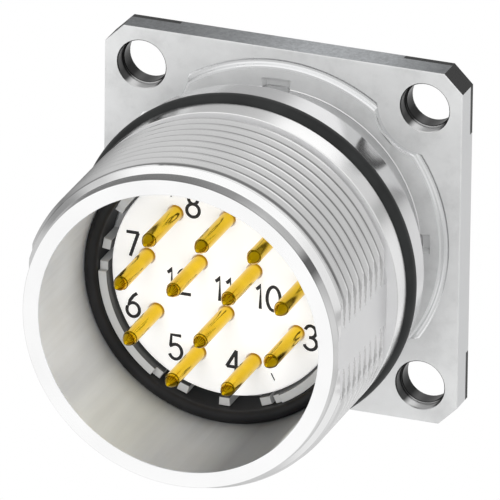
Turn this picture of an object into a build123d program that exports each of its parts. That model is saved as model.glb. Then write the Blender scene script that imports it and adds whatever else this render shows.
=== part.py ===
from build123d import *
import os
from math import cos, radians, sin, sqrt

# Flange mount connector, size M23, with twelve pin contacts
#
# The origin is the centre of the flange's rear face. The mating side points along -Y,
# and seen from there +X is to the right and +Z is up. All lengths are in millimetres.
# A station is a distance from the flange's rear face towards the mating side, so
# whatever stands at station s lies at y = -s, and what is behind the flange has a
# negative station. Turned pieces are drawn as (radius, y) in the XY plane.

# Shell. The crest radius of the thread drives every other radius of the housing
thread_radius = 11.5
thread_depth = 0.6
thread_length = 7.9
thread_flat_depth = 0.7
shell_length = 21.4
lip_step = 0.74
lip_chamfer_length = 0.6
pilot_step = 0.5
pilot_length = 0.8
relief_groove_length = 0.85
relief_slope = 0.25
band_length = 1.7
ring_seat_step = 1.15
collar_length = 1.85
neck_step = 1.6

# Hub platform in front of the flange
platform_step = 1.5
platform_height = 0.4
screw_head_radius = 3.3

# Flange
flange_margin = 1.1
flange_thickness = 2.1
flange_corner_cut = 1.3
screw_circle_margin = 2.6
screw_hole_radius = 1.6

# Bores and rear spigot
shell_wall = 1.82
cup_depth = 10.9
cup_seal_width = 0.92
rim_thickness = 2.0
insert_stop_width = 0.44
spigot_wall = 0.8
spigot_length = 6.5
spigot_edge = 0.4

# Seals
outer_ring_cord = 1.5
outer_ring_crown = 0.45
cup_seal_depth = 8.0

# Insulator
coding_slot_width = 0.76
insert_face_depth = 9.1
insert_rear_recess = 3.0

# Coding ring
coding_tip_depth = 8.4
coding_base_height = 2.0
coding_step_height = 0.35
coding_step_angle = 4.0
coding_arcs = [(-145.0, -92.0), (126.0, 151.0), (-58.0, -18.0), (22.0, 84.0)]
coding_pitch_angle = 20.0
coding_tab_steps = [-4, 8, 9, 10]
coding_tab_angle = 5.0
coding_tab_drop = 0.5

# Retaining ring
retaining_ring_thickness = 1.5
retaining_ring_width = 1.6

# Contacts
outer_contact_radius = 5.65
outer_contact_count = 8
outer_contact_step = 40.0
top_contact_radius = 4.5
inner_contact_radius = 2.2
inner_contact_count = 3
pin_radius = 0.5
pin_reach = 5.7
pin_tip_length = 0.5
pin_tail_reach = 2.5

# Clearances
fit_clearance = 0.04
pin_clearance = 0.02
ring_clearance = 0.02

# Radii that follow from the thread
thread_root_radius = thread_radius - thread_depth
pilot_radius = thread_radius - pilot_step
lip_radius = thread_radius - lip_step
ring_seat_radius = thread_radius - ring_seat_step
neck_radius = thread_radius - neck_step
cup_radius = thread_radius - shell_wall
rim_radius = cup_radius - cup_seal_width
insert_bore_radius = rim_radius + insert_stop_width
insert_front_radius = rim_radius - coding_slot_width
insert_flange_radius = insert_bore_radius - fit_clearance
spigot_radius = insert_bore_radius + spigot_wall
platform_radius = neck_radius + platform_step
flange_width = 2 * (platform_radius + flange_margin)
screw_circle_radius = platform_radius + screw_circle_margin
screw_spacing = sqrt(2) * screw_circle_radius

# Stations from the lip back to the rear end
pilot_station = shell_length - lip_chamfer_length
thread_station = pilot_station - pilot_length
relief_front_station = thread_station - thread_length
relief_rear_station = relief_front_station - relief_groove_length
band_rear_station = relief_rear_station - band_length
collar_front_station = band_rear_station - outer_ring_cord - 2 * ring_clearance
collar_rear_station = collar_front_station - collar_length
seal_seat_station = shell_length - cup_depth
insert_stop_station = seal_seat_station - rim_thickness
insert_face_station = shell_length - insert_face_depth
insert_rear_station = insert_rear_recess - spigot_length
pin_tip_station = insert_face_station + pin_reach
tail_end_station = insert_rear_station - pin_tail_reach


def contact_place(number):
    """The (x, z) place of a contact, which is numbered clockwise as seen from the front."""
    if number <= outer_contact_count:
        angle, radius = outer_contact_step * number, outer_contact_radius
    elif number == outer_contact_count + 1:
        angle, radius = 0.0, top_contact_radius
    else:
        inner_step = 360.0 / inner_contact_count
        inner_index = number - outer_contact_count - 2
        angle, radius = inner_step * (inner_index + 0.5), inner_contact_radius
    return (radius * sin(radians(angle)), radius * cos(radians(angle)))


contact_count = outer_contact_count + 1 + inner_contact_count
contact_places = [contact_place(number + 1) for number in range(contact_count)]


def clock_sector(start, end, reach):
    """A sector about the axis between two clock angles, which run clockwise from the top."""
    middle = (start + end) / 2
    corners = [(reach * sin(radians(a)), reach * cos(radians(a))) for a in (start, middle, end)]
    with BuildLine() as outline:
        Line((0, 0), corners[0])
        ThreePointArc(*corners)
        Line(corners[2], (0, 0))
    return make_face(outline.line)


# Housing: flange, platform, shell and spigot in one piece
with BuildPart() as housing:
    with BuildSketch(Plane.XZ):
        Rectangle(flange_width, flange_width)
        chamfer(vertices(), flange_corner_cut)
    extrude(amount=flange_thickness)

    # The platform gives way to the four screw heads
    with BuildSketch(Plane.XZ.offset(flange_thickness)):
        Circle(platform_radius)
        with GridLocations(screw_spacing, screw_spacing, 2, 2):
            Circle(screw_head_radius, mode=Mode.SUBTRACT)
    extrude(amount=platform_height)

    # Shell and spigot, drawn from the rear end to the lip. The fine thread is drawn by
    # its crest, between the relief groove and the smooth pilot behind the lip
    with BuildSketch(Plane.XY):
        with BuildLine():
            Polyline(
                (0, spigot_length),
                (spigot_radius - spigot_edge, spigot_length),
                (spigot_radius, spigot_length - spigot_edge),
                (spigot_radius, -flange_thickness / 2),
                (neck_radius, -flange_thickness / 2),
                (neck_radius, -collar_rear_station),
                (thread_radius, -collar_rear_station),
                (thread_radius, -collar_front_station),
                (ring_seat_radius, -collar_front_station),
                (ring_seat_radius, -band_rear_station),
                (thread_radius, -band_rear_station),
                (thread_radius, -relief_rear_station),
                (thread_root_radius, -relief_rear_station - relief_slope),
                (thread_root_radius, -relief_front_station + relief_slope),
                (thread_radius, -relief_front_station),
                (thread_radius, -thread_station),
                (pilot_radius, -pilot_station),
                (lip_radius, -shell_length),
                (0, -shell_length),
                (0, spigot_length),
            )
        make_face()
    revolve(axis=Axis.Y)

    # Two flats across the thread, from the floor of the relief groove to the lip
    thread_flat_distance = thread_radius - thread_flat_depth
    flat_rear_station = relief_rear_station + relief_slope
    with BuildSketch(Plane.XZ.offset(flat_rear_station)):
        with GridLocations(2 * thread_flat_distance + thread_flat_depth, 0, 2, 1):
            Rectangle(thread_flat_depth, 2 * thread_radius)
    extrude(amount=shell_length - flat_rear_station, mode=Mode.SUBTRACT)

    # Cup, rim and insert bore, from the lip to the rear end
    with BuildSketch(Plane.XY):
        with BuildLine():
            Polyline(
                (0, -shell_length),
                (cup_radius, -shell_length),
                (cup_radius, -seal_seat_station),
                (rim_radius, -seal_seat_station),
                (rim_radius, -insert_stop_station),
                (insert_bore_radius, -insert_stop_station),
                (insert_bore_radius, spigot_length),
                (0, spigot_length),
                (0, -shell_length),
            )
        make_face()
    revolve(axis=Axis.Y, mode=Mode.SUBTRACT)

    with Locations(Plane.XZ.offset(flange_thickness)):
        with GridLocations(screw_spacing, screw_spacing, 2, 2):
            Hole(screw_hole_radius, flange_thickness)
housing.part.label = "housing"


# Outer ring: rubber ring in the groove between the band and the collar
outer_ring_middle_radius = ring_seat_radius + outer_ring_cord / 2 + ring_clearance
outer_ring_station = (collar_front_station + band_rear_station) / 2
with BuildPart() as outer_o_ring:
    with BuildSketch(Plane.XY):
        with Locations((outer_ring_middle_radius, -outer_ring_station)):
            Rectangle(outer_ring_cord, outer_ring_cord)
        chamfer(vertices().sort_by(Axis.X)[-2:], outer_ring_crown)
    revolve(axis=Axis.Y)
outer_o_ring.part.label = "outer_o_ring"


# Cup seal: a rubber sleeve that stands on the rim and stops the plug's nose
with BuildPart() as cup_seal:
    with BuildSketch(Plane.XZ.offset(seal_seat_station)):
        Circle(cup_radius - fit_clearance)
        Circle(rim_radius, mode=Mode.SUBTRACT)
    extrude(amount=cup_depth - cup_seal_depth)
cup_seal.part.label = "cup_seal"


# Contact insert: the numbered face, and the wider body that stops at the rim
with BuildPart() as contact_insert:
    with BuildSketch(Plane.XZ.offset(insert_rear_station)):
        Circle(insert_flange_radius)
    extrude(amount=insert_stop_station - insert_rear_station)
    with BuildSketch(Plane.XZ.offset(insert_stop_station)):
        Circle(insert_front_radius)
    extrude(amount=insert_face_station - insert_stop_station)
    with BuildSketch(Plane.XZ.offset(insert_rear_station)):
        with Locations(*contact_places):
            Circle(pin_radius + pin_clearance)
    extrude(amount=insert_face_station - insert_rear_station, mode=Mode.SUBTRACT)
contact_insert.part.label = "contact_insert"


# Retaining ring: pressed into the bore behind the insert
retaining_ring_outer_radius = insert_bore_radius - ring_clearance
with BuildPart() as retaining_ring:
    with BuildSketch(Plane.XZ.offset(insert_rear_station - retaining_ring_thickness)):
        Circle(retaining_ring_outer_radius)
        Circle(retaining_ring_outer_radius - retaining_ring_width, mode=Mode.SUBTRACT)
    extrude(amount=retaining_ring_thickness)
retaining_ring.part.label = "retaining_ring"


# Coding ring: long arcs with a stepped end and short tabs on a closed base
coding_outer_radius = rim_radius - fit_clearance
coding_inner_radius = insert_front_radius + fit_clearance
coding_base_station = insert_stop_station + coding_base_height
coding_tip_station = shell_length - coding_tip_depth
coding_height = coding_tip_station - coding_base_station
with BuildPart() as coding_ring:
    with BuildSketch(Plane.XZ.offset(insert_stop_station)):
        Circle(coding_outer_radius)
        Circle(coding_inner_radius, mode=Mode.SUBTRACT)
    extrude(amount=coding_base_height)
    tab_span = coding_tab_angle / 2
    tab_middles = [coding_pitch_angle * step for step in coding_tab_steps]
    crests = [(start, end, coding_height) for start, end in coding_arcs]
    crests += [
        (start - coding_step_angle, end + coding_step_angle, coding_height - coding_step_height)
        for start, end in coding_arcs
    ]
    crests += [(mid - tab_span, mid + tab_span, coding_height - coding_tab_drop) for mid in tab_middles]
    for start, end, height in crests:
        with BuildSketch(Plane.XZ.offset(coding_base_station)):
            add(clock_sector(start, end, 2 * coding_outer_radius))
            Circle(coding_outer_radius, mode=Mode.INTERSECT)
            Circle(coding_inner_radius, mode=Mode.SUBTRACT)
        extrude(amount=height)
coding_ring.part.label = "coding_ring"


def contact_pin(place):
    """One turned contact, pressed through the insert: a pointed pin and a solder tail."""
    x, z = place
    with BuildPart() as pin:
        with BuildSketch(Plane(origin=(x, 0, z), x_dir=(1, 0, 0), z_dir=(0, 0, 1))):
            with BuildLine():
                Polyline(
                    (0, -pin_tip_station),
                    (pin_radius, -pin_tip_station + pin_tip_length),
                    (pin_radius, -tail_end_station),
                    (0, -tail_end_station),
                    (0, -pin_tip_station),
                )
            make_face()
        revolve(axis=Axis(origin=(x, 0, z), direction=(0, 1, 0)))
    return pin.part


contact_pins = [contact_pin(place) for place in contact_places]


os.makedirs("parts", exist_ok=True)
export_step(housing.part, "parts/housing.step")
export_step(outer_o_ring.part, "parts/outer_o_ring.step")
export_step(cup_seal.part, "parts/cup_seal.step")
export_step(coding_ring.part, "parts/coding_ring.step")
export_step(contact_insert.part, "parts/contact_insert.step")
export_step(retaining_ring.part, "parts/retaining_ring.step")
for number, pin_part in enumerate(contact_pins, start=1):
    pin_part.label = f"contact_pin_{number:02d}"
    export_step(pin_part, f"parts/{pin_part.label}.step")
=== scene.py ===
from math import cos, degrees, hypot, pi, radians, sin, sqrt

import bmesh
import bpy
from mathutils import Matrix, Vector
from mathutils.geometry import tessellate_polygon


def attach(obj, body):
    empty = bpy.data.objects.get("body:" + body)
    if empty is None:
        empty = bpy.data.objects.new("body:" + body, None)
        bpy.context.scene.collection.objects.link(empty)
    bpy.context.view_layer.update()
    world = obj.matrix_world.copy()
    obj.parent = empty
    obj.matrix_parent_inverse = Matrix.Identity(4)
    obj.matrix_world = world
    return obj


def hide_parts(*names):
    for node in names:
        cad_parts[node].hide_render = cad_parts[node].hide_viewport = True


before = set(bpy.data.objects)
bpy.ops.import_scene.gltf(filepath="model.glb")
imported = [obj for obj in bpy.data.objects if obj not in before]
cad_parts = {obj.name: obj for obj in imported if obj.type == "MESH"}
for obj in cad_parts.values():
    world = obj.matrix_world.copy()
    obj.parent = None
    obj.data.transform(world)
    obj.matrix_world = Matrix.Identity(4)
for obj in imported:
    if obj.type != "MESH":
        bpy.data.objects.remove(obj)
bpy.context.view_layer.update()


# Housing
# One piece of brass: cast as a square flange with a scalloped hub, turned inside and
# out, threaded M23 x 1 with two milled flats, and nickel plated all over.

# Sizes are in millimetres. A station is a distance in front of the flange's rear face,
# and a clock angle is counted from the top, clockwise as seen from the front
MM = 0.001
CLOCK_COLUMNS = 288
clock_angles = [2 * pi * k / CLOCK_COLUMNS for k in range(CLOCK_COLUMNS)]


class Shell:
    """Collects corners and faces of a closed mesh. Corners that meet are one."""

    def __init__(self):
        self.corners, self.known, self.faces, self.finishes = [], {}, [], []

    def corner(self, x, station, z):
        key = (round(x, 5), round(station, 5), round(z, 5))
        if key not in self.known:
            self.known[key] = len(self.corners)
            self.corners.append((key[0] * MM, -key[1] * MM, key[2] * MM))
        return self.known[key]

    def face(self, indices, finish=0):
        ring = [a for k, a in enumerate(indices) if a != indices[k - 1]]
        if len(set(ring)) == len(ring) and len(ring) > 2:
            self.faces.append(ring)
            self.finishes.append(finish)

    def band(self, first, second, finish=0):
        """Faces between two closed rows of as many corners."""
        count = len(first)
        for k in range(count):
            n = (k + 1) % count
            self.face((first[k], first[n], second[n], second[k]), finish)

    def bands(self, rows, finish=0):
        """Faces between each row and the next."""
        for first, second in zip(rows, rows[1:]):
            self.band(first, second, finish)

    def loop(self, station, points):
        """A row of corners at one station, through (x, z) points."""
        return [self.corner(x, station, z) for x, z in points]

    def turned(self, profile, closed=False, columns=CLOCK_COLUMNS):
        """Turns a profile of (radius, station) points about the axis."""
        rows = [self.loop(station, circle_loop(0.0, 0.0, radius, columns)) for radius, station in profile]
        self.bands([rows[-1], *rows] if closed else rows)

    def plate(self, station, outline, holes, finish=0):
        """A flat face at one station with holes in it. Loops are lists of (x, z)."""
        loops = [outline, *holes]
        corners = [corner for loop in loops for corner in self.loop(station, loop)]
        for piece in tessellate_polygon([[Vector((x, z, 0)) for x, z in loop] for loop in loops]):
            self.face([corners[k] for k in piece], finish)

    def made(self, name, materials, sharp_angle):
        """The mesh as an object, smooth but for edges sharper than an angle in degrees."""
        mesh = bpy.data.meshes.new(name)
        mesh.from_pydata(self.corners, [], self.faces)
        for material in materials:
            mesh.materials.append(material)
        mesh.polygons.foreach_set("material_index", self.finishes)
        work = bmesh.new()
        work.from_mesh(mesh)
        bmesh.ops.recalc_face_normals(work, faces=work.faces)
        work.to_mesh(mesh)
        work.free()
        mesh.shade_smooth()
        mesh.set_sharp_from_angle(angle=radians(sharp_angle))
        return new_object(name, mesh)


def new_object(name, data):
    """A new object, in the scene."""
    made = bpy.data.objects.new(name, data)
    bpy.context.scene.collection.objects.link(made)
    return made


def circle_loop(x, z, radius, count):
    """A round loop as (x, z) points."""
    turned = [2 * pi * k / count for k in range(count)]
    return [(x + radius * sin(a), z + radius * cos(a)) for a in turned]


def rounded(points, radius, steps=3):
    """A turned profile with small rounded corners. A point's third value is its own radius."""
    result = [points[0]]
    for before, here, after in zip(points, points[1:], points[2:]):
        knee = Vector(here[:2])
        back = Vector(before[:2]) - knee
        ahead = Vector(after[:2]) - knee
        size = here[2] if len(here) > 2 else radius
        size = min(size, 0.45 * back.length, 0.45 * ahead.length)
        start = knee + back.normalized() * size
        end = knee + ahead.normalized() * size
        for k in range(steps + 1):
            t = k / steps
            point = start * (1 - t) ** 2 + knee * 2 * t * (1 - t) + end * t ** 2
            result.append((point.x, point.y))
    result.append(points[-1][:2])
    return result


flange_half = 12.5
flange_front = 2.1
flange_corner_cut = 1.3
flange_edge = 0.06
rough_strip = 0.5
rough_corner_reach = 7.8
screw_place = 9.9
screw_hole_radius = 1.6
screw_hole_front_radius = 1.68
screw_hole_edge = 0.07
screw_hole_columns = 44
ledge_front = 1.15
ledge_radius = 1.57
ledge_length = 0.12
ledge_slope = 0.04
platform_foot_radius = 11.76
platform_front = 2.5
platform_inner_radius = 10.56
scallop_radius = 3.3
scallop_softness = 0.12
pocket_depth = 0.35
pocket_reaches = ((-6.3, 3.3), (84.0, 90.5))
neck_radius = 9.9
collar_rear = 6.16
collar_front = 8.01
ring_seat_radius = 10.35
band_rear = 9.55
band_front = 11.25
relief_radius = 10.9
relief_slope = 0.25
thread_rear = 12.1
thread_front = 20.15
thread_radius = 11.5
thread_depth = 0.6
thread_pitch = 1.0
thread_flat = 10.8
flat_rear = band_front + relief_slope - 0.01
crest_taper_start = 19.6
crest_taper = 0.44
groove_floor_half = 0.06
groove_wall = 0.345
wall_roundness = 0.25
run_out_length = 0.12
first_groove = 19.709
first_groove_clock = radians(30)
chamfer_rear = 20.1
chamfer_rear_radius = 11.28
land_rear = 20.6
land_rear_radius = 10.85
shell_length = 21.4
lip_radius = 10.76
cup_radius = 9.68
cup_floor = 10.5
rim_radius = 8.76
rim_rear = 8.5
insert_bore_radius = 9.2
spigot_radius = 10.0
spigot_taper_start = -4.05
spigot_rear = -5.2
spigot_end_radius = 9.36


def hub_outline(circle, scallop, angle):
    """Radius of the scalloped hub at a clock angle, with its corners softened."""
    diagonal = (degrees(angle) % 90) - 45
    centre = screw_place * sqrt(2)
    inside = scallop ** 2 - (centre * sin(radians(diagonal))) ** 2
    if inside <= 0:
        return circle
    bite = centre * cos(radians(diagonal)) - sqrt(inside)
    blend = max(0.0, scallop_softness - abs(bite - circle)) / scallop_softness
    return min(bite, circle) - blend * blend * scallop_softness / 4


def hub_rule(circle, widening):
    """The hub's outline at one level, as a rule of the clock angle."""
    return lambda angle: hub_outline(circle, scallop_radius + widening, angle)


def chamfer_radius(station):
    """Radius of the chamfer between the thread and the lip's land."""
    slope = (chamfer_rear_radius - land_rear_radius) / (land_rear - chamfer_rear)
    return chamfer_rear_radius - (station - chamfer_rear) * slope


def thread_surface(angle, station):
    """Radius of the threaded shell, a right-hand helix that runs out towards the lip."""
    turned = thread_radius - max(0.0, station - crest_taper_start) * crest_taper
    if station > chamfer_rear:
        turned = chamfer_radius(station)
    phase = (station - first_groove) / thread_pitch + (angle - first_groove_clock) / (2 * pi)
    off_groove = abs(phase - round(phase)) * thread_pitch
    rise = min(1.0, max(0.0, (off_groove - groove_floor_half) / groove_wall))
    rise = rise * rise * (3 - 2 * rise) * wall_roundness + rise * (1 - wall_roundness)
    run_out = min(1.0, max(0.0, (thread_front - station) / run_out_length))
    return min(turned, thread_radius - thread_depth * (1 - rise) * run_out)


def milled(x, station, z):
    """The two flats, cut across everything from the relief groove to the lip."""
    if station > flat_rear and abs(x) > thread_flat:
        x = thread_flat if x > 0 else -thread_flat
    return x, station, z


def shell_row(radius, station):
    """One ring of corners. Its radius and its station may be rules of the clock angle."""
    row = []
    for angle in clock_angles:
        r = radius(angle) if callable(radius) else radius
        s = station(angle) if callable(station) else station
        row.append(housing.corner(*milled(r * sin(angle), s, r * cos(angle))))
    return row


def pocketed(angle):
    """Station of the hub's face beside the neck, with two small pockets left by the casting."""
    turned = (degrees(angle) + 180) % 360 - 180
    in_pocket = any(start < turned < end for start, end in pocket_reaches)
    return platform_front - (pocket_depth if in_pocket else 0.0)


housing = Shell()
(
    CAST, TURNED, CUP, THREAD, NECK, BORE, DARK_SIDE, BRIGHT_SIDE, CORNER, ROUGH, FLAT,
    LAND, BAND, FOOT, RELIEF,
) = range(15)

# Hub, neck, collar, ring groove, band and relief groove. Each level of the hub's flared
# foot is a radius, a widening of the scallops and a rise above the flange
foot_levels = [
    (platform_foot_radius, 0.0, 0.0), (11.66, 0.0, 0.01), (11.55, 0.0, 0.06), (11.46, 0.02, 0.15),
    (11.4, 0.05, 0.26), (11.33, 0.1, 0.35), (11.22, 0.2, platform_front - flange_front),
]
rows = [(hub_rule(circle, widening), flange_front + rise, FOOT) for circle, widening, rise in foot_levels]
rows += [(platform_inner_radius, platform_front, CAST), (platform_inner_radius - 0.02, pocketed, CAST)]
rows += [(neck_radius + 0.05, pocketed, CAST), (neck_radius, lambda angle: pocketed(angle) + 0.05, NECK)]
neck_profile = rounded(
    [
        (neck_radius, platform_front + 0.1), (neck_radius, collar_rear, 0.1),
        (thread_radius, collar_rear, 0.12), (thread_radius, collar_front, 0.08),
        (ring_seat_radius, collar_front), (ring_seat_radius, band_rear),
        (thread_radius, band_rear, 0.09), (thread_radius, band_front, 0.06),
        (relief_radius, band_front + relief_slope, 0.08), (relief_radius, thread_rear - relief_slope, 0.08),
        (relief_radius, thread_rear - relief_slope + 0.01),
    ],
    0.05,
)
for radius, station in neck_profile:
    if station < band_rear - 0.1:
        rows.append((radius, station, NECK))
    else:
        rows.append((radius, station, BAND if station < band_front + 0.2 else RELIEF))
made_rows = [(shell_row(r, s), finish) for r, s, finish in rows]
for (first, _), (second, finish) in zip(made_rows, made_rows[1:]):
    housing.band(first, second, finish)

# Thread: its rows climb with the helix, and the last turn closes on the one before. The
# rows lie at these parts of the pitch from the middle of a groove
groove_steps = (0.05, 0.09, 0.16, 0.24, 0.32, 0.38, 0.405, 0.43)
turn_rows = [-0.5, *[-step for step in reversed(groove_steps)], *groove_steps]
turns = 11
climb = []
for turn in range(turns):
    for offset in turn_rows:
        station = first_groove + thread_pitch * (turn - turns + 2 + offset)
        row = []
        for angle in clock_angles:
            here = station - (angle - first_groove_clock) / (2 * pi) * thread_pitch
            here = min(thread_front, max(thread_rear, here))
            r = thread_surface(angle, here)
            row.append(housing.corner(*milled(r * sin(angle), here, r * cos(angle))))
        climb.append(row)
for low, high in zip(climb, climb[1:]):
    for k in range(CLOCK_COLUMNS - 1):
        housing.face((low[k], low[k + 1], high[k + 1], high[k]), THREAD)
per_turn = len(turn_rows)
for k in range(per_turn, len(climb) - 1):
    before = k - per_turn
    housing.face((climb[k][-1], climb[before][0], climb[before + 1][0], climb[k + 1][-1]), THREAD)
for k in range(per_turn):
    housing.face((climb[k][-1], climb[0][0], climb[k + 1][-1]), THREAD)
for k in range(len(climb) - 1 - per_turn, len(climb) - 1):
    housing.face((climb[-1][-1], climb[k][0], climb[k + 1][0]), THREAD)
thread_foot = shell_row(lambda angle: thread_surface(angle, thread_rear), thread_rear)
housing.band(made_rows[-1][0], thread_foot, THREAD)

# Chamfer, the lip's land, cup and the bores down to the spigot's end
chamfer_start = thread_front + 0.04
front_profile = rounded(
    [
        (chamfer_radius(chamfer_start), chamfer_start), (land_rear_radius, land_rear, 0.06),
        (lip_radius, shell_length, 0.06), (cup_radius, shell_length, 0.08), (cup_radius, cup_floor),
        (rim_radius, cup_floor), (rim_radius, rim_rear), (insert_bore_radius, rim_rear),
        (insert_bore_radius, spigot_rear, 0.04), (spigot_end_radius, spigot_rear),
        (spigot_radius, spigot_taper_start, 0.1), (spigot_radius, 0.0),
    ],
    0.05,
)
previous = shell_row(lambda angle: thread_surface(angle, thread_front), thread_front)
for r, s in front_profile:
    row = shell_row(r, s)
    finish = TURNED
    if s > land_rear and r > lip_radius - 0.06:
        finish = LAND
    elif r < cup_radius + 0.02 and s > rim_rear - 0.1:
        finish = CUP
    housing.band(previous, row, finish)
    previous = row


def flange_outline(inset):
    """Outline of the flange as (x, z) points, clockwise, four for each corner."""
    half = flange_half - inset
    cut = flange_half - flange_corner_cut - inset * (sqrt(2) - 1)
    points = []
    for quarter in range(4):
        for x, z in ((rough_corner_reach, half), (cut, half), (half, cut), (half, rough_corner_reach)):
            for _ in range(quarter):
                x, z = z, -x
            points.append((x, z))
    return points


def screw_hole(corner, radius):
    """Loop of the screw hole in a corner, numbered 0 to 3."""
    middle = pi / 4 + corner * pi / 2
    reach = screw_place * sqrt(2)
    return circle_loop(reach * sin(middle), reach * cos(middle), radius, screw_hole_columns)


def clock_loop(radius):
    """A turned loop as (x, z) points. The radius may be a rule of the clock angle."""
    sizes = [radius(a) if callable(radius) else radius for a in clock_angles]
    return [(r * sin(a), r * cos(a)) for r, a in zip(sizes, clock_angles)]


def side_finish(k, lower):
    """Finish of the k-th piece of the flange's rim, and of its strip along the rear edge."""
    quarter, place = divmod(k, 4)
    if lower and place < 3:
        return ROUGH
    if place == 1:
        return CORNER
    side = (quarter if place == 0 else quarter + 1) % 4
    return BRIGHT_SIDE if side in (1, 2) else DARK_SIDE


# Flange: its rim with broken edges, then both faces with the four screw holes between
# them. The upper and left sides are as cast and carry painted shade, the others are
# cleaner, and the corners are cut smooth and painted near black as a painted dark
# reflection. Round the corners a strip along the rear edge stays rough and is painted
# near black as painted shade
rim_levels = [
    (flange_edge, flange_front), (0.3 * flange_edge, flange_front - 0.3 * flange_edge),
    (0.0, flange_front - flange_edge), (0.0, rough_strip), (0.0, flange_edge),
    (0.3 * flange_edge, 0.3 * flange_edge), (flange_edge, 0.0),
]
rim_rows = [housing.loop(station, flange_outline(inset)) for inset, station in rim_levels]
for first, second, (_, station) in zip(rim_rows, rim_rows[1:], rim_levels[1:]):
    for k in range(16):
        n = (k + 1) % 16
        finish = CAST if station > flange_front - 2 * flange_edge else side_finish(k, station < rough_strip)
        housing.face((first[k], first[n], second[n], second[k]), finish)

hub_loop = clock_loop(hub_rule(platform_foot_radius, 0.0))
front_holes = [screw_hole(corner, screw_hole_front_radius + screw_hole_edge) for corner in range(4)]
housing.plate(flange_front, flange_outline(flange_edge), [hub_loop, *front_holes], CAST)
rear_holes = [screw_hole(corner, screw_hole_radius) for corner in range(4)]
housing.plate(0.0, flange_outline(flange_edge), [clock_loop(spigot_radius), *rear_holes], CAST)

# Each screw hole has a wider front step, then a low ledge, then the drilled hole
hole_levels = [
    (screw_hole_front_radius + screw_hole_edge, flange_front),
    (screw_hole_front_radius, flange_front - screw_hole_edge),
    (screw_hole_front_radius, ledge_front + ledge_slope), (ledge_radius, ledge_front),
    (ledge_radius, ledge_front - ledge_length),
    (screw_hole_radius, ledge_front - ledge_length - ledge_slope), (screw_hole_radius, 0.0),
]
for corner in range(4):
    housing.bands([housing.loop(s, screw_hole(corner, r)) for r, s in hole_levels], BORE)


def nodes_of(name):
    """A new material, its node tree and its shader."""
    material = bpy.data.materials.new(name)
    material.use_nodes = True
    tree = material.node_tree
    return material, tree, tree.nodes["Principled BSDF"]


def fill(tree, made, values):
    """Fills a node by name: an output is linked, another value is set."""
    for key, value in values.items():
        if key not in made.inputs:
            setattr(made, key, value)
        elif isinstance(value, bpy.types.NodeSocket):
            tree.links.new(value, made.inputs[key])
        else:
            made.inputs[key].default_value = value
    return made


def node(tree, kind, **values):
    """A new node with some of its inputs and properties filled."""
    return fill(tree, tree.nodes.new(kind), values)


def arithmetic(tree, operation, first, second=None):
    """A sum in a node tree. Each side is the output of a node or a plain number."""
    made = node(tree, "ShaderNodeMath", operation=operation)
    for socket, value in zip(made.inputs, (first, second)):
        if isinstance(value, (int, float)):
            socket.default_value = value
        elif value is not None:
            tree.links.new(value, socket)
    return made.outputs[0]


def mapped(tree, value, low, high, to_low=0.0, to_high=1.0, **options):
    """A value that goes from low to high, spread over another range."""
    made = node(tree, "ShaderNodeMapRange", Value=value, **options)
    levels = {"From Min": low, "From Max": high, "To Min": to_low, "To Max": to_high}
    return fill(tree, made, levels).outputs[0]


def ramp(tree, value, stops):
    """A ramp through (position, tone) stops. A tone is a grey or a colour."""
    made = node(tree, "ShaderNodeValToRGB", Fac=value)
    while len(made.color_ramp.elements) < len(stops):
        made.color_ramp.elements.new(0.5)
    for element, (position, tone) in zip(made.color_ramp.elements, stops):
        element.position = position
        element.color = (*tone, 1) if isinstance(tone, tuple) else (tone, tone, tone, 1)
    return made.outputs[0]


def place_of(tree):
    """The x, y and z outputs of a point's own place, in metres."""
    place = node(tree, "ShaderNodeTexCoord").outputs["Object"]
    return node(tree, "ShaderNodeSeparateXYZ", Vector=place).outputs.values()


def radius_of(tree):
    """A point's distance from the axis, in metres."""
    x, _, z = place_of(tree)
    squares = [arithmetic(tree, "MULTIPLY", side, side) for side in (x, z)]
    return arithmetic(tree, "SQRT", arithmetic(tree, "ADD", *squares))


def clock_turn(tree):
    """A point's clock angle as a part of a turn: 0 at the top, 0.25 right, -0.25 left."""
    x, _, z = place_of(tree)
    return arithmetic(tree, "DIVIDE", arithmetic(tree, "ARCTAN2", x, z), 2 * pi)


def beyond(tree, value, start):
    """How far a length in metres goes beyond a start, both here and there in millimetres."""
    return arithmetic(tree, "MULTIPLY", arithmetic(tree, "SUBTRACT", value, start * MM), 1 / MM)


def combined(tree, **parts):
    """One vector from its x, y and z parts."""
    return node(tree, "ShaderNodeCombineXYZ", **parts).outputs[0]


def noise_of(tree, scale, detail, roughness=0.5, place=None):
    """Noise in the piece's own coordinates, or in a place that is given."""
    place = place or node(tree, "ShaderNodeTexCoord").outputs["Object"]
    made = node(tree, "ShaderNodeTexNoise", Vector=place, Scale=scale, Detail=detail, Roughness=roughness)
    return made.outputs["Fac"]


def toned(material, factor):
    """Multiplies a material's colour by a tone, the output of a node in its own tree."""
    tree = material.node_tree
    colour = tree.nodes["Principled BSDF"].inputs["Base Color"]
    tone = node(tree, "ShaderNodeMix", data_type="RGBA", blend_type="MULTIPLY", Factor=1.0)
    if colour.is_linked:
        tree.links.new(colour.links[0].from_socket, tone.inputs[6])
    else:
        tone.inputs[6].default_value = colour.default_value
    tree.links.new(factor, tone.inputs[7])
    tree.links.new(tone.outputs[2], colour)


def clock_toned(material, stops):
    """Tones a material by clock angle. Position 0.5 is the top and 0.75 the right side."""
    tree = material.node_tree
    toned(material, ramp(tree, arithmetic(tree, "ADD", clock_turn(tree), 0.5), stops))


def bumped(tree, height, distance, strength=1.0):
    """Adds a bump, over any bump that is there. Its distance is in millimetres."""
    normal = tree.nodes["Principled BSDF"].inputs["Normal"]
    made = node(tree, "ShaderNodeBump", Height=height, Strength=strength, Distance=distance * MM)
    if normal.is_linked:
        tree.links.new(normal.links[0].from_socket, made.inputs["Normal"])
    tree.links.new(made.outputs[0], normal)


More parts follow.
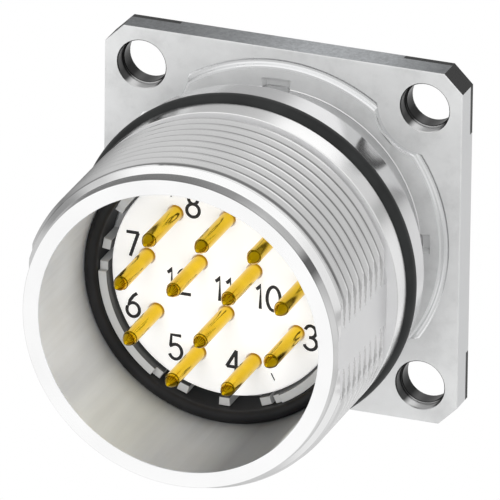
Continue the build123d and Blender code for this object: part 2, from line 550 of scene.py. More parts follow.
def nickel(name, colour, roughness, spread, ring_height, grain_height, grain_scale, metal=1.0):
    """Nickel plate: turning rings about the axis, a fine grain and faint cloudiness.

    The heights of the rings and the grain are in millimetres.
    """
    material, tree, shader = nodes_of(name)
    cloud = noise_of(tree, 180.0, 3.0)
    rough = mapped(tree, cloud, 0.3, 0.7, roughness - spread, roughness + spread)
    fill(tree, shader, {"Base Color": (*colour, 1), "Metallic": metal, "Roughness": rough})
    toned(material, mapped(tree, cloud, 0.3, 0.7, 0.95, 1.03))
    _, y, _ = place_of(tree)
    rings = combined(tree, X=radius_of(tree), Y=y)
    bumped(tree, noise_of(tree, 6000.0, 2.0, 0.6, rings), ring_height)
    bumped(tree, noise_of(tree, grain_scale, 3.0, 0.6), grain_height)
    return material


# The housing's finishes, in the order of their numbers
finishes = [nickel(*look) for look in (
    ("cast nickel plate", (0.69, 0.695, 0.695), 0.50, 0.05, 0.0, 0.004, 5000.0, 0.35),
    ("turned nickel plate", (0.84, 0.84, 0.84), 0.17, 0.03, 0.0015, 0.0006, 2500.0),
    ("bored cup", (0.935, 0.96, 0.985), 0.42, 0.03, 0.001, 0.0004, 2500.0, 0.35),
    ("cut thread", (0.80, 0.80, 0.80), 0.26, 0.03, 0.0015, 0.0006, 2500.0),
    # The neck's plate is painted darker than the other turned faces, as painted shade
    ("turned neck with painted shade", (0.72, 0.72, 0.725), 0.15, 0.03, 0.0015, 0.0006, 2500.0),
    ("drilled screw holes", (0.60, 0.60, 0.60), 0.28, 0.03, 0.0, 0.001, 2500.0),
    ("cast upper sides with painted shade", (0.66, 0.68, 0.70), 0.50, 0.06, 0.0, 0.020, 2600.0),
    ("cast lower sides", (0.66, 0.665, 0.67), 0.45, 0.05, 0.0, 0.004, 2600.0, 0.6),
    # The cut corners are painted near black: a painted dark reflection on the nickel
    ("cut corners with painted dark reflection", (0.045, 0.045, 0.045), 0.22, 0.04, 0.0, 0.002, 2600.0),
    # The rough strip is painted near black as painted shade, besides being rougher
    ("rough rear strip with painted shade", (0.08, 0.08, 0.08), 0.60, 0.06, 0.0, 0.008, 2600.0),
    ("milled flats", (0.72, 0.72, 0.725), 0.32, 0.04, 0.0, 0.001, 1800.0, 0.7),
    ("lip land", (0.80, 0.80, 0.80), 0.22, 0.03, 0.0015, 0.0006, 2500.0),
    ("band before the thread", (0.84, 0.84, 0.84), 0.18, 0.03, 0.0015, 0.0006, 2500.0),
    ("foot of the hub", (0.78, 0.785, 0.79), 0.25, 0.05, 0.0, 0.001, 2500.0),
    ("relief groove", (0.70, 0.70, 0.705), 0.40, 0.04, 0.0, 0.001, 1800.0, 0.7),
)]

# The tones below are set by place on the part, for the shade and the reflections that
# the photo shows there

# The thread has painted shade, a dark line about halfway up the walls of its grooves,
# which fades beside the flats, and a painted dark reflection on its upper left
thread_nickel = finishes[THREAD]
thread_tree = thread_nickel.node_tree
thread_side_reach = 12.0
groove = beyond(thread_tree, radius_of(thread_tree), thread_radius - thread_depth)
painted_groove_shade_tones = ((0.0, 0.90), (0.16, 0.85), (0.21, 0.27), (0.30, 0.36), (0.37, 1.0))
thread_x, _, _ = place_of(thread_tree)
sideways = arithmetic(thread_tree, "ABSOLUTE", thread_x)
sideways = arithmetic(thread_tree, "MULTIPLY", sideways, 1 / (thread_side_reach * MM))
least_by_flats = ramp(thread_tree, sideways, ((0.82, 0.0), (0.90, 0.80)))
painted_groove_shade = ramp(thread_tree, groove, painted_groove_shade_tones)
toned(thread_nickel, arithmetic(thread_tree, "MAXIMUM", painted_groove_shade, least_by_flats))
thread_painted_reflection = (
    (0.0, 1.0), (0.30, 0.95), (0.335, 0.72), (0.36, 0.42), (0.39, 0.70), (0.42, 0.97), (0.44, 1.0),
)
clock_toned(thread_nickel, thread_painted_reflection)

# A screw hole has painted shade and is dark but for the low side of its front step,
# which is left light as a painted highlight
bore_nickel = finishes[BORE]
bore_tree = bore_nickel.node_tree
_, bore_y, bore_z = place_of(bore_tree)
hole_middle = arithmetic(bore_tree, "MULTIPLY", arithmetic(bore_tree, "SIGN", bore_z), screw_place * MM)
drop = arithmetic(bore_tree, "SUBTRACT", hole_middle, bore_z)
drop = arithmetic(bore_tree, "DIVIDE", drop, screw_hole_front_radius * MM)
in_front_step = arithmetic(bore_tree, "LESS_THAN", bore_y, -(ledge_front + 0.02) * MM)
toned(bore_nickel, ramp(bore_tree, in_front_step, ((0.0, 0.12), (1.0, 1.0))))
toned(bore_nickel, ramp(bore_tree, drop, ((0.0, 0.05), (0.74, 0.10), (0.88, 1.0))))

# The cup has painted shade, darkest low on the right, and a little painted warm reflection
# low on the left. Its faint streaks along its axis are its own
cup_nickel = finishes[CUP]
cup_tree = cup_nickel.node_tree
cup_painted_light = (
    (0.0, 0.52), (0.03, 0.58), (0.07, (0.68, 0.67, 0.62)), (0.11, (0.82, 0.81, 0.76)), (0.155, 0.78),
    (0.20, 0.97), (0.33, 1.0), (0.86, 1.0), (0.885, 0.24), (0.95, 0.25), (0.985, 0.46), (1.0, 0.52),
)
clock_toned(cup_nickel, cup_painted_light)
streaks_round = 55.0
streaks_along = 60.0
_, cup_y, _ = place_of(cup_tree)
around = arithmetic(cup_tree, "MULTIPLY", clock_turn(cup_tree), streaks_round)
along_cup = arithmetic(cup_tree, "MULTIPLY", cup_y, streaks_along)
streaks = noise_of(cup_tree, 1.0, 4.0, 0.6, combined(cup_tree, X=around, Y=along_cup))
toned(cup_nickel, ramp(cup_tree, streaks, ((0.25, 0.86), (0.75, 1.0))))

# The lip's land has a painted dark reflection across the top, and a narrow painted dark
# line on its upper right
land_painted_reflection = (
    (0.34, 1.0), (0.40, 0.42), (0.50, 0.32), (0.555, 0.42), (0.59, 0.85), (0.635, 0.85),
    (0.648, 0.22), (0.660, 0.22), (0.675, 0.85), (1.0, 1.0),
)
clock_toned(finishes[LAND], land_painted_reflection)

# The cast faces are a little blotchy
cast_tree = finishes[CAST].node_tree
blotches = noise_of(cast_tree, 330.0, 5.0, 0.65)
toned(finishes[CAST], ramp(cast_tree, blotches, ((0.30, 0.84), (0.48, 0.98), (0.70, 1.05))))

# The band has a painted dark reflection, nearly black, on its upper left
band_painted_reflection = (
    (0.0, 1.0), (0.31, 0.5), (0.335, 0.12), (0.36, 0.02), (0.385, 0.06), (0.40, 0.9), (0.43, 1.1),
    (1.0, 1.0),
)
clock_toned(finishes[BAND], band_painted_reflection)

# The flange's upper side is grainy and has painted shade that grows darker towards both
# ends. Its left side has painted shade as dark as the upper side's left end
side_nickel = finishes[DARK_SIDE]
side_tree = side_nickel.node_tree
side_x, _, _ = place_of(side_tree)
along_side = arithmetic(side_tree, "DIVIDE", side_x, 2 * flange_half * MM)
along_side = arithmetic(side_tree, "ADD", along_side, 0.5)
side_painted_shade = ((0.0, 0.40), (0.18, 0.46), (0.38, 0.66), (0.58, 1.0), (0.78, 0.88), (0.93, 0.48))
toned(side_nickel, ramp(side_tree, along_side, side_painted_shade))
side_grain = noise_of(side_tree, 4200.0, 2.0, 0.7)
toned(side_nickel, ramp(side_tree, side_grain, ((0.3, 0.72), (0.7, 1.0))))

housing_piece = housing.made("housing_visual", finishes, 9)
made_corners = housing_piece.data.vertices
for polygon in housing_piece.data.polygons:
    places = [made_corners[k].co for k in polygon.vertices]
    in_front = all(place.y < -flat_rear * MM for place in places)
    if in_front and all(abs(abs(place.x) - thread_flat * MM) < 0.001 * MM for place in places):
        polygon.use_smooth = False
        polygon.material_index = FLAT
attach(housing_piece, "root")
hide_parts("housing")


# Outer ring
# Black rubber cord ring, moulded round and stretched into the groove between the collar
# and the band, where it seals the mating connector's nut.

cord_radius = 0.75
pressed_cord_radius = 0.745
cord_columns = 28
ring_middle = ring_seat_radius + cord_radius + 0.02
ring_station = (collar_front + band_rear) / 2
cord_profile = []
for k in range(cord_columns):
    t = 2 * pi * k / cord_columns
    reach = pressed_cord_radius if cos(t) < 0 else cord_radius
    cord_profile.append((ring_middle + reach * cos(t), ring_station + cord_radius * sin(t)))
outer_ring = Shell()
outer_ring.turned(cord_profile, closed=True)


def scaled(colour, factor):
    """A colour made darker or lighter."""
    return tuple(part * factor for part in colour)


def coloured(tree, value, stops):
    """Takes the base colour from a ramp."""
    fill(tree, tree.nodes["Principled BSDF"], {"Base Color": ramp(tree, value, stops)})


def rubber(name, colour, roughness):
    """Moulded rubber: nearly black, with a fine matt skin."""
    material, tree, shader = nodes_of(name)
    bloom = noise_of(tree, 420.0, 2.0)
    coloured(tree, bloom, ((0.3, scaled(colour, 0.75)), (0.7, scaled(colour, 1.3))))
    bumped(tree, noise_of(tree, 5200.0, 3.0, 0.6), 0.02, 0.35)
    fill(tree, shader, {"Roughness": roughness, "Specular IOR Level": 0.22})
    return material


black_rubber = rubber("black ring rubber", (0.016, 0.017, 0.017), 0.48)
outer_ring_piece = outer_ring.made("outer_o_ring_visual", [black_rubber], 40)
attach(outer_ring_piece, "root")
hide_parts("outer_o_ring")


# Cup seal
# Black rubber sleeve with a crowned front face, pushed to the bottom of the cup,
# where it stands on the housing's rim and stops the plug's nose.

seal_outer_radius = 9.64
seal_shoulder = 13.05
seal_crown = 0.34
seal_middle = (seal_outer_radius + rim_radius) / 2
seal_half = (seal_outer_radius - rim_radius) / 2
seal_profile = [(rim_radius, cup_floor), (seal_outer_radius, cup_floor), (seal_outer_radius, seal_shoulder)]
for k in range(1, 10):
    t = radians(18 * k)
    seal_profile.append((seal_middle + seal_half * cos(t), seal_shoulder + seal_crown * sin(t)))
seal_profile.append((rim_radius, seal_shoulder))
cup_seal = Shell()
cup_seal.turned(seal_profile, closed=True)
seal_rubber = rubber("cup seal rubber", (0.012, 0.012, 0.013), 0.42)
cup_seal_piece = cup_seal.made("cup_seal_visual", [seal_rubber], 35)
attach(cup_seal_piece, "root")
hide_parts("cup_seal")


# Contact insert
# White moulded insulator with twelve chambers. It goes in from behind, stops at the
# housing's rim and shows its numbered face at the bottom of the cup.

insert_face = 12.3
insert_rear = -3.5
insert_front_radius = 8.0
insert_rear_radius = 9.16
chamber_mouth_radius = 0.6
chamber_radius = 0.57
chamber_depth = 0.9
chamber_rear_radius = 0.52
chamber_columns = 36
outer_circle = 5.65
inner_circle = 2.2
top_contact_height = 4.5
clock_places = [(outer_circle, 40 * n) for n in range(1, 9)] + [(top_contact_height, 0)]
clock_places += [(inner_circle, angle) for angle in (60, 180, 300)]
contact_places = [(r * sin(radians(a)), r * cos(radians(a))) for r, a in clock_places]

insert_profile = rounded(
    [
        (insert_front_radius - 0.16, insert_face), (insert_front_radius, insert_face, 0.14),
        (insert_front_radius, rim_rear), (insert_rear_radius, rim_rear, 0.08),
        (insert_rear_radius, insert_rear, 0.1), (insert_rear_radius - 0.16, insert_rear),
    ],
    0.05,
)
contact_insert = Shell()
contact_insert.turned(insert_profile)


def chambers(radius):
    """Loops of the twelve chambers."""
    return [circle_loop(x, z, radius, chamber_columns) for x, z in contact_places]


contact_insert.plate(insert_face, clock_loop(insert_profile[0][0]), chambers(chamber_mouth_radius))
contact_insert.plate(insert_rear, clock_loop(insert_profile[-1][0]), chambers(chamber_rear_radius))
chamber_floor = insert_face - chamber_depth
chamber_levels = [
    (chamber_mouth_radius, insert_face), (chamber_radius, insert_face - 0.03),
    (chamber_radius, chamber_floor), (chamber_rear_radius, chamber_floor),
    (chamber_rear_radius, insert_rear),
]
for n in range(len(contact_places)):
    contact_insert.bands([contact_insert.loop(s, chambers(r)[n]) for r, s in chamber_levels])


def moulded(name, colour, roughness):
    """Moulded plastic: even colour with slight clouding and a faint spark-eroded skin."""
    material, tree, shader = nodes_of(name)
    coloured(tree, noise_of(tree, 300.0, 2.0), ((0.25, scaled(colour, 0.965)), (0.75, colour)))
    bumped(tree, noise_of(tree, 4200.0, 2.0), 0.02, 0.15)
    fill(tree, shader, {"Roughness": roughness})
    return material


# The insulator glows a little, which keeps it as white as the photo's
white_plastic = moulded("white moulded insulator", (0.97, 0.97, 0.965), 0.42)
white_tree = white_plastic.node_tree
white_glow = {"Emission Color": (1, 1, 1, 1), "Emission Strength": 0.20}
fill(white_tree, white_tree.nodes["Principled BSDF"], white_glow)
insert_piece = contact_insert.made("contact_insert_visual", [white_plastic], 30)
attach(insert_piece, "root")
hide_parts("contact_insert")


# Contact numbers
# Thin dark strokes on the insulator's face, a numeral beside each contact and two
# short curved marks near the edge.

numeral_height = 1.7
numeral_width = 0.92 * numeral_height
numeral_gap = 0.2 * numeral_height
stroke = 0.23
full_stroke = 1.0
fine_stroke = 0.4
ink_height = 0.012


def sweep(cx, cy, rx, ry, start, end, steps=14):
    """Points on an oval arc between two clock angles in degrees."""
    turned = [radians(start + (end - start) * k / steps) for k in range(steps + 1)]
    return [(cx + rx * sin(a), cy + ry * cos(a)) for a in turned]


# The width and the strokes of each figure, on a line of height 1
glyphs = {
    "0": (0.60, [sweep(0.3, 0.5, 0.29, 0.5, 0, 360, 28)]),
    "1": (0.26, [[(0.0, 0.80), (0.07, 0.84), (0.14, 0.91), (0.19, 1.0), (0.19, 0.0)]]),
    "2": (0.58, [
        sweep(0.29, 0.72, 0.27, 0.28, -80, 105) + [(0.50, 0.56), (0.40, 0.42), (0.02, 0.0)],
        [(0.0, 0.0), (0.58, 0.0)],
    ]),
    "3": (0.54, [
        sweep(0.25, 0.755, 0.24, 0.245, -75, 180) + [(0.18, 0.51)],
        sweep(0.25, 0.255, 0.28, 0.255, 0, 258),
    ]),
    "4": (0.56, [[(0.42, 0.0), (0.42, 1.0)], [(0.43, 1.0), (0.0, 0.29)], [(0.0, 0.30), (0.56, 0.30)]]),
    "5": (0.56, [[(0.52, 1.0), (0.08, 1.0), (0.05, 0.55)] + sweep(0.27, 0.31, 0.28, 0.31, -48, 250, 20)]),
    "6": (0.58, [[(0.46, 1.0), (0.30, 0.88), (0.14, 0.66)] + sweep(0.29, 0.29, 0.28, 0.29, -62, 298, 26)]),
    "7": (0.54, [[(0.0, 1.0), (0.56, 1.0)], [(0.53, 1.0), (0.18, 0.0)]]),
    "8": (0.58, [sweep(0.29, 0.77, 0.21, 0.23, 0, 360, 22), sweep(0.29, 0.27, 0.28, 0.27, 0, 360, 26)]),
    "9": (0.58, [[(0.12, 0.0), (0.28, 0.12), (0.44, 0.34)] + sweep(0.29, 0.71, 0.28, 0.29, 118, 478, 26)]),
}
numeral_places = {
    "8": (-2.4, 5.1), "7": (-6.6, 1.65), "12": (-3.3, -0.45), "11": (-0.2, -0.55), "10": (2.9, -0.65),
    "6": (-6.5, -2.65), "5": (-3.5, -5.2), "4": (0.5, -5.6), "3": (5.9, -3.0), "2": (6.7, 1.75),
    "1": (2.3, 6.3), "9": (0.0, 6.45),
}
ink_lines = []
for text, (middle_x, middle_z) in numeral_places.items():
    span = sum(glyphs[c][0] * numeral_width for c in text) + numeral_gap * (len(text) - 1)
    pen = middle_x - span / 2
    foot = middle_z - numeral_height / 2
    for c in text:
        width, strokes = glyphs[c]
        for line in strokes:
            placed = [(pen + x * numeral_width, foot + y * numeral_height) for x, y in line]
            ink_lines.append((placed, full_stroke))
        pen += width * numeral_width + numeral_gap
for mark in (((6.7, -36), (6.95, -34), (7.1, -31), (7.1, -28)), ((6.75, 152), (7.0, 152), (7.3, 152))):
    ink_lines.append(([(r * sin(radians(a)), r * cos(radians(a))) for r, a in mark], fine_stroke))

ink_curve = bpy.data.curves.new("numerals", "CURVE")
ink_curve.dimensions = "3D"
ink_curve.bevel_depth = stroke / 2 * MM
ink_curve.bevel_resolution = 2
ink_curve.use_fill_caps = True
for line, thickness in ink_lines:
    closed = hypot(line[0][0] - line[-1][0], line[0][1] - line[-1][1]) < 1e-6
    points = line[:-1] if closed else line
    spline = ink_curve.splines.new("POLY")
    spline.points.add(len(points) - 1)
    for point, (x, z) in zip(spline.points, points):
        point.co = (x * MM, 0, z * MM, 1)
        point.radius = thickness
    spline.use_cyclic_u = closed
ink_object = new_object("numerals_line", ink_curve)
ink_mesh = bpy.data.meshes.new_from_object(ink_object.evaluated_get(bpy.context.evaluated_depsgraph_get()))
bpy.data.objects.remove(ink_object)
for vertex in ink_mesh.vertices:
    vertex.co.y = vertex.co.y / (stroke / 2) * ink_height - insert_face * MM
ink_material, ink_tree, ink_shader = nodes_of("printed numerals")
ink_tones = ((0.0, (0.004, 0.004, 0.005)), (1.0, (0.02, 0.02, 0.022)))
coloured(ink_tree, noise_of(ink_tree, 3500.0, 2.0), ink_tones)
fill(ink_tree, ink_shader, {"Roughness": 0.5})
ink_mesh.materials.clear()
ink_mesh.materials.append(ink_material)
numerals = new_object("contact_numbers", ink_mesh)
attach(numerals, "root")


# Contacts
# Twelve turned brass contacts with gold plate. Each is pressed through its chamber:
# a pointed pin with a small shoulder in front, and a plain solder tail behind.

pin_columns = 40
pin_radius = 0.5
tip_station = 18.0
tail_station = -6.0
nose_length = 0.86
nose_gap = 0.05
nose_root = 0.46
nose_end = 0.17
point_slope = 15
point_height = nose_end * 0.8
shoulder = tip_station - nose_length
nose_start = shoulder + nose_gap
pin_profile = [
    (0.0, tail_station), (pin_radius - 0.06, tail_station), (pin_radius, tail_station + 0.06),
    (pin_radius, shoulder - 0.05), (pin_radius - 0.02, shoulder - 0.02), (nose_root - 0.03, shoulder),
    (nose_root - 0.03, shoulder + 0.03),
]
for k in range(9):
    t = k / 8
    r = nose_root - (nose_root - nose_end) * t ** 1.5
    pin_profile.append((r, nose_start + (tip_station - point_height - nose_start) * t))
for k in range(1, 6):
    t = radians(point_slope + (90 - point_slope) * k / 5)
    r = nose_end * cos(t) / cos(radians(point_slope))
    drop = point_height * (1 - sin(t)) / (1 - sin(radians(point_slope)))
    pin_profile.append((max(0.0, r), tip_station - drop))
blank = Shell()
blank.turned(pin_profile, columns=pin_columns)

# Gold: a painted dark line, as painted shade, runs where a contact's nose meets its shank,
# and the nose has painted shade that makes it a little darker than the shank
gold, gold_tree, gold_shader = nodes_of("gold plate")
fill(gold_tree, gold_shader, {"Metallic": 1.0, "Roughness": 0.16})
gold_tones = ((0.3, (0.74, 0.465, 0.003)), (0.7, (0.82, 0.535, 0.005)))
coloured(gold_tree, noise_of(gold_tree, 900.0, 3.0), gold_tones)
bumped(gold_tree, noise_of(gold_tree, 6000.0, 3.0), 0.02, 0.12)
_, gold_y, _ = place_of(gold_tree)
nose_shade_start = shoulder - 0.2
nose_painted_shade = ((0.12, 1.0), (0.17, 0.40), (0.23, 0.40), (0.28, 0.85))
along_nose = beyond(gold_tree, arithmetic(gold_tree, "MULTIPLY", gold_y, -1), nose_shade_start)
toned(gold, ramp(gold_tree, along_nose, nose_painted_shade))

contact_blank = blank.made("contact_blank", [gold], 20)

places_mesh = bpy.data.meshes.new("contact_places")
places_mesh.from_pydata([(x * MM, 0, z * MM) for x, z in contact_places], [], [])
contacts = new_object("contacts", places_mesh)

# Geometry Nodes: the blank stands on each place, turned a step further each time
set_tree = bpy.data.node_groups.new("set of contacts", "GeometryNodeTree")
new_socket = set_tree.interface.new_socket
new_socket("Geometry", in_out="INPUT", socket_type="NodeSocketGeometry")
socket_contact = new_socket("Contact", in_out="INPUT", socket_type="NodeSocketObject")
socket_turn = new_socket("Turn per contact", in_out="INPUT", socket_type="NodeSocketFloat")
socket_width = new_socket("Width factor", in_out="INPUT", socket_type="NodeSocketFloat")
new_socket("Geometry", in_out="OUTPUT", socket_type="NodeSocketGeometry")
into = node(set_tree, "NodeGroupInput").outputs
source = node(set_tree, "GeometryNodeObjectInfo", Object=into["Contact"])
place_index = node(set_tree, "GeometryNodeInputIndex").outputs[0]
turn_here = arithmetic(set_tree, "MULTIPLY", place_index, into["Turn per contact"])
spread_out = node(
    set_tree, "GeometryNodeInstanceOnPoints",
    Points=into["Geometry"], Instance=source.outputs["Geometry"], Rotation=combined(set_tree, Y=turn_here),
    Scale=combined(set_tree, X=into["Width factor"], Y=1.0, Z=into["Width factor"]),
)
realized = node(set_tree, "GeometryNodeRealizeInstances", Geometry=spread_out.outputs[0])
plated = node(set_tree, "GeometryNodeSetMaterial", Geometry=realized.outputs[0], Material=gold)
node(set_tree, "NodeGroupOutput", Geometry=plated.outputs[0])
setting = contacts.modifiers.new("set of contacts", "NODES")
setting.node_group = set_tree
setting[socket_contact.identifier] = contact_blank
setting[socket_turn.identifier] = radians(37)
setting[socket_width.identifier] = 1.0
contacts_mesh = bpy.data.meshes.new_from_object(contacts.evaluated_get(bpy.context.evaluated_depsgraph_get()))
contacts.modifiers.clear()
contacts.data = contacts_mesh
bpy.data.objects.remove(contact_blank)
contacts_mesh.shade_smooth()
contacts_mesh.set_sharp_from_angle(angle=radians(20))
contacts.name = "contacts_visual"
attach(contacts, "root")
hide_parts(*[f"contact_pin_{n:02d}" for n in range(1, 13)])


# Coding ring
# Light grey moulded ring round the insulator, castellated so that only a plug with
# the same coding goes in. Its arcs have a small step at each end.

coding_outer = 8.72
coding_inner = 8.12
coding_rear = 8.5
coding_low = 10.5
coding_high = 13.0
arcs = [(-145.0, -92.0), (126.0, 151.0), (-58.0, -18.0), (22.0, 84.0)]
step_width = 4
step_drop = 0.35
tabs = [20.0 * place for place in (-4, 8, 9, 10)]
tab_half_width = 2.5
tab_drop = 0.5
moulded_edge = 0.035


def coding_top(angle):
    """Station of the ring's front at a clock angle in degrees."""
    top = coding_low
    for a in (angle - 360, angle, angle + 360):
        for start, end in arcs:
            if start <= a <= end:
                return coding_high
            if start - step_width <= a <= end + step_width:
                top = max(top, coding_high - step_drop)
        for middle in tabs:
            if abs(a - middle) <= tab_half_width:
                top = max(top, coding_high - tab_drop)
    return top


# The ring's columns: every 1.5 degrees, and two at each angle where its height changes
breaks = set()
for start, end in arcs:
    breaks |= {start % 360, end % 360, (start - step_width) % 360, (end + step_width) % 360}
for middle in tabs:
    breaks |= {(middle - tab_half_width) % 360, (middle + tab_half_width) % 360}
ring_columns = []
for angle in sorted({1.5 * k for k in range(240)} | breaks):
    below, above = coding_top(angle - 0.01), coding_top(angle + 0.01)
    ring_columns.append((radians(angle), below))
    if above != below:
        ring_columns.append((radians(angle), above))
coding_ring = Shell()
coding_rows = []
for r, at_front in ((coding_outer, False), (coding_outer, True), (coding_inner, True), (coding_inner, False)):
    row = []
    for a, top in ring_columns:
        row.append(coding_ring.corner(r * sin(a), top if at_front else coding_rear, r * cos(a)))
    coding_rows.append(row)
coding_ring.bands([coding_rows[-1], *coding_rows])

# The ring's inner wall is nearly black, for the shade in the gap beside the insulator
grey_plastic = moulded("grey moulded coding ring", (0.55, 0.555, 0.555), 0.38)
ring_tree = grey_plastic.node_tree
off_inner_wall = beyond(ring_tree, radius_of(ring_tree), coding_inner)
toned(grey_plastic, ramp(ring_tree, off_inner_wall, ((0.01, 0.03), (0.05, 1.0))))
coding_piece = coding_ring.made("coding_ring_visual", [grey_plastic], 30)
soften = coding_piece.modifiers.new("moulded edges", "BEVEL")
soften.width = moulded_edge * MM
soften.segments = 2
soften.limit_method = "ANGLE"
soften.angle_limit = radians(40)
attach(coding_piece, "root")
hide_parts("coding_ring")


# Retaining ring
# Plated steel ring. It is pushed into the housing's bore from behind and holds the
# insulator against the rim.

retainer_outer = 9.18
retainer_inner = 7.58
retainer_rear = insert_rear - 1.5
retainer_middle = 8.4
retainer_profile = rounded(
    [
        (retainer_middle, insert_rear), (retainer_outer, insert_rear), (retainer_outer, retainer_rear, 0.15),
        (retainer_inner, retainer_rear, 0.15), (retainer_inner, insert_rear), (retainer_middle, insert_rear),
    ],
    0.12,
)
retaining = Shell()
retaining.turned(retainer_profile[:-1], closed=True)
plated_steel = nickel("zinc plate", (0.50, 0.51, 0.53), 0.26, 0.05, 0.001, 0.001, 1500.0)
retaining_piece = retaining.made("retaining_ring_visual", [plated_steel], 20)
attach(retaining_piece, "root")
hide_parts("retaining_ring")


# Studio
# A pale floor well below the part, an even white light all round, a room of greys that
# only reflections see, two soft lamps and a long lens.

floor_height = -0.06
floor_corners = ((-3, -3), (3, -3), (3, 3), (-3, 3))
floor_mesh = bpy.data.meshes.new("floor")
floor_mesh.from_pydata([(x, y, floor_height) for x, y in floor_corners], [], [(0, 1, 2, 3)])
floor = new_object("floor", floor_mesh)
floor_material, floor_tree, floor_shader = nodes_of("pale floor")
pale = {"Base Color": (0.9, 0.9, 0.9, 1), "Roughness": 0.9, "Specular IOR Level": 0.0}
fill(floor_tree, floor_shader, pale)


def by_ray(tree, ray, otherwise, then):
    """One shader for one kind of ray, and another for all the others."""
    mixed = node(tree, "ShaderNodeMixShader")
    asked = node(tree, "ShaderNodeLightPath").outputs[ray]
    for output, socket in zip((asked, otherwise.outputs[0], then.outputs[0]), mixed.inputs):
        tree.links.new(output, socket)
    return mixed


# The camera sees the floor pure white
glow = node(floor_tree, "ShaderNodeEmission", Strength=1.0)
floor_look = by_ray(floor_tree, "Is Camera Ray", floor_shader, glow)
floor_tree.links.new(floor_look.outputs[0], floor_tree.nodes["Material Output"].inputs[0])
floor_mesh.materials.append(floor_material)
floor.visible_glossy = False

world = bpy.data.worlds.new("studio")
world.use_nodes = True
bpy.context.scene.world = world
sky = world.node_tree
for old in list(sky.nodes):
    sky.nodes.remove(old)
link = sky.links.new
way = node(sky, "ShaderNodeTexCoord").outputs["Generated"]
axes = node(sky, "ShaderNodeSeparateXYZ", Vector=way)


def soft_step(value, low, high):
    """A soft step from 0 to 1 between two levels of a value."""
    return mapped(sky, value, low, high, interpolation_type="SMOOTHSTEP")


def laid_over(under, amount, level):
    """A grey mixed over what is already there."""
    over = node(sky, "ShaderNodeMix", data_type="RGBA")
    link(amount, over.inputs[0])
    link(under, over.inputs[6])
    over.inputs[7].default_value = (level, level, level, 1)
    return over.outputs[2]


def card(under, direction, half_angle, feather, level):
    """A soft round card in one direction."""
    facing = node(sky, "ShaderNodeVectorMath", operation="DOT_PRODUCT")
    facing.inputs[1].default_value = Vector(direction).normalized()
    link(way, facing.inputs[0])
    outside, inside = cos(radians(half_angle + feather)), cos(radians(half_angle - feather))
    return laid_over(under, soft_step(facing.outputs["Value"], outside, inside), level)


def belt(under, low, high, feather, level):
    """A soft ring round the axis, in the upper half of the room only."""
    rising = soft_step(axes.outputs["Y"], low - feather, low + feather)
    falling = soft_step(axes.outputs["Y"], high + feather, high - feather)
    inside = arithmetic(sky, "MULTIPLY", rising, falling)
    upper = soft_step(axes.outputs["Z"], 0.0, 0.3)
    return laid_over(under, arithmetic(sky, "MULTIPLY", inside, upper), level)


def clock(angle, polar):
    """A direction behind the part: its clock angle and its angle from straight behind."""
    a, p = radians(angle), radians(polar)
    return (sin(a) * sin(p), cos(p), cos(a) * sin(p))


# Each card: its direction, its half angle and its feather in degrees, and its level
plain = node(sky, "ShaderNodeRGB")
plain.outputs[0].default_value = (0.68, 0.68, 0.68, 1)
room_tone = plain.outputs[0]
for direction, half_angle, feather, level in (
    ((-0.31, -0.86, -0.40), 34, 14, 1.16),
    ((0.60, -0.30, 0.75), 24, 10, 1.12),
    ((-0.10, -0.10, 0.99), 46, 10, 1.18),
    ((0.92, -0.30, 0.25), 20, 10, 0.92),
    ((0.60, 0.05, -0.78), 28, 12, 0.98),
    ((-0.72, 0.50, 0.45), 20, 12, 0.95),
    ((-0.97, 0.17, 0.15), 10, 6, 0.34),
    ((0.98, 0.00, -0.35), 14, 8, 0.56),
    ((0.50, 0.57, -0.12), 9, 6, 0.95),
    (clock(-70, 30), 22, 9, 0.52),
    (clock(178, 31), 16, 8, 0.98),
    (clock(-139, 30.5), 10, 5, 0.03),
    (clock(14, 30), 12, 6, 1.12),
    (clock(80, 31), 2.5, 2.5, 0.30),
    (clock(118, 30), 9, 6, 0.88),
):
    room_tone = card(room_tone, direction, half_angle, feather, level)
room_tone = belt(room_tone, 0.30, 0.52, 0.05, 0.12)
room_tone = belt(room_tone, -0.88, -0.52, 0.08, 0.72)
room_tone = card(room_tone, (0.86, 0.29, 0.42), 3, 2.5, 0.15)

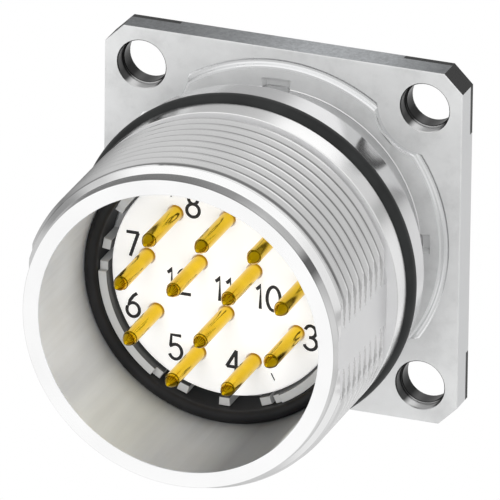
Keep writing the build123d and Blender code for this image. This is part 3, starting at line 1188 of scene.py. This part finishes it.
# The camera sees white, glossy rays see the shaped room, and all others an even light
even = node(sky, "ShaderNodeBackground", Color=(1, 1, 1, 1), Strength=0.88)
shaped = node(sky, "ShaderNodeBackground", Color=room_tone, Strength=1.0)
white = node(sky, "ShaderNodeBackground", Color=(1, 1, 1, 1), Strength=1.0)
room = by_ray(sky, "Is Glossy Ray", even, shaped)
room = by_ray(sky, "Is Camera Ray", room, white)
node(sky, "ShaderNodeOutputWorld", Surface=room.outputs[0])

lamp_aim = Vector((0, -0.01, 0))
for name, place in (("key lamp", (-0.1, -0.6, 0.45)), ("front lamp", (0.18, -0.62, 0.05))):
    lamp_data = bpy.data.lights.new(name, "AREA")
    lamp_data.size = 0.4
    lamp_data.energy = 1.4
    lamp = new_object(name, lamp_data)
    lamp.location = place
    lamp.visible_glossy = False
    lamp.rotation_euler = (lamp_aim - Vector(place)).to_track_quat("-Z", "Y").to_euler()

# Camera: its direction, its scale, and the pixel where a point on the axis is seen before
# the roll
azimuth = radians(20.12)
elevation = radians(23.44)
roll = radians(0.72)
distance = 1.0
picture = 500
pixels_per_mm = 15.269
seen_at_x = 249.79
seen_at_y = 257.97
point_on_axis = Vector((0, -0.008, 0))
back = Vector((sin(azimuth) * cos(elevation), -cos(azimuth) * cos(elevation), sin(elevation)))
right = Vector((cos(azimuth), sin(azimuth), 0))
up = back.cross(right)
camera_data = bpy.data.cameras.new("camera")
camera = new_object("camera", camera_data)
camera_data.sensor_width = 36.0
camera_data.lens = camera_data.sensor_width * pixels_per_mm * distance / MM / picture
camera_data.clip_start = 0.05
camera_data.clip_end = 20.0
aside = right * ((picture / 2 - seen_at_x) / pixels_per_mm * MM)
above = up * ((seen_at_y - picture / 2) / pixels_per_mm * MM)
camera.location = point_on_axis + aside + above + back * distance
turned_right = right * cos(roll) + up * sin(roll)
turned_up = up * cos(roll) - right * sin(roll)
camera.rotation_euler = Matrix((turned_right, turned_up, back)).transposed().to_euler()
bpy.context.scene.camera = camera

bpy.context.scene.view_settings.view_transform = "Standard"
